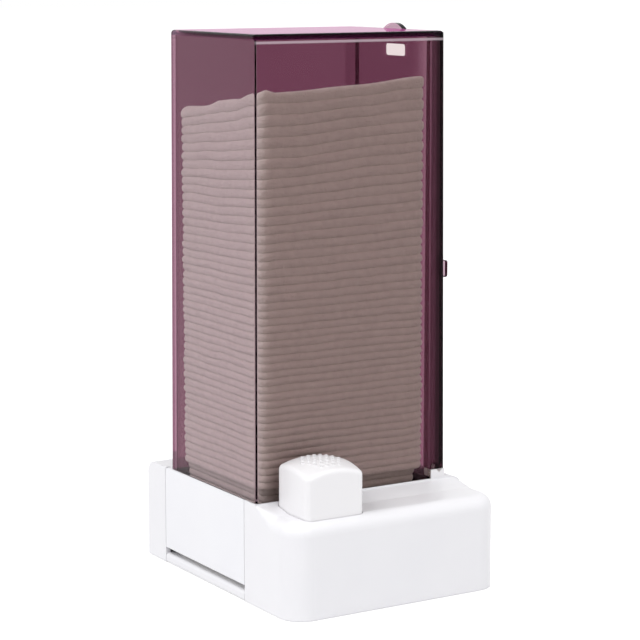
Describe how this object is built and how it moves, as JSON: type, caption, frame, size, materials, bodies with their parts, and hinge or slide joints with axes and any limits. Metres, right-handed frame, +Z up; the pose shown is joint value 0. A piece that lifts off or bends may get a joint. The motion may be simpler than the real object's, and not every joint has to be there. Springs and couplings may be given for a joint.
{
  "type": "cotton pad dispenser",
  "caption": "Free-standing cotton pad dispenser: white base with a push button, tall tinted clear magazine full of pads, outlet slot at the front foot and a refill door at the back.",
  "frame": {"origin": "on the table, under the middle of the base", "axes": "+Z up, -Y towards the outlet slot, +Y towards the refill door, +X towards the push button"},
  "size_m": [0.097, 0.0794, 0.1826],
  "materials": {
    "white_plastic": "satin white moulding",
    "button_plastic": "satin white moulding with raised dots",
    "tinted_plastic": "clear plastic with a smoky plum tint",
    "inner_plastic": "natural plastic",
    "steel": "bright steel",
    "rubber": "soft rubber",
    "cotton": "soft cotton"
  },
  "bodies": {
    "base": {"base_shell": "white_plastic", "outlet_panel": "white_plastic", "bottom_plate": "white_plastic", "rubber_feet": "rubber", "bottom_screws": "steel", "cover": "tinted_plastic", "hinge_lugs": "white_plastic", "magazine_chute": "inner_plastic", "chute_screws": "steel", "gear_bracket": "inner_plastic", "bracket_screws": "steel", "pusher_guide_rail": "inner_plastic", "return_spring": "steel", "cotton_pads": "cotton"},
    "button": {"push_button": "button_plastic", "button_rack": "inner_plastic", "button_screws": "steel"},
    "gear_train": {"pinion_gear": "inner_plastic", "spur_gear": "inner_plastic", "gear_shaft": "steel"},
    "pusher": {"pusher_rack": "inner_plastic", "pusher_blade": "inner_plastic", "pusher_screws": "steel"},
    "next_pad": {"bottom_pad": "cotton"},
    "door": {"refill_door": "tinted_plastic", "door_pins": "tinted_plastic"}
  },
  "joints": [
    {"name": "button_press", "type": "slide", "parent": "base", "child": "button", "axis": [0, 0, -1], "range_m": [0, 0.0105], "stiffness_N_per_m": 350, "springref_m": -0.006, "deforming": ["return_spring"]},
    {"name": "gear_turn", "type": "hinge", "parent": "base", "child": "gear_train", "pos_m": [0.03615, -0.00465, 0.0154], "axis": [1, 0, 0], "range_deg": [0, 150.5]},
    {"name": "pusher_slide", "type": "slide", "parent": "base", "child": "pusher", "axis": [0, -1, 0], "range_m": [0, 0.02626]},
    {"name": "pad_slide", "type": "slide", "parent": "base", "child": "next_pad", "axis": [0, -1, 0], "range_m": [0, 0.02626]},
    {"name": "door_hinge", "type": "hinge", "parent": "base", "child": "door", "pos_m": [-0.003, 0.03095, 0.0367], "axis": [-1, 0, 0], "range_deg": [0, 95]}
  ],
  "couplings": [
    {"joint": "gear_turn", "follows": "button_press", "rad_per_m": 250},
    {"joint": "pusher_slide", "follows": "button_press", "ratio": 2.5},
    {"joint": "pad_slide", "follows": "button_press", "ratio": 2.5}
  ]
}
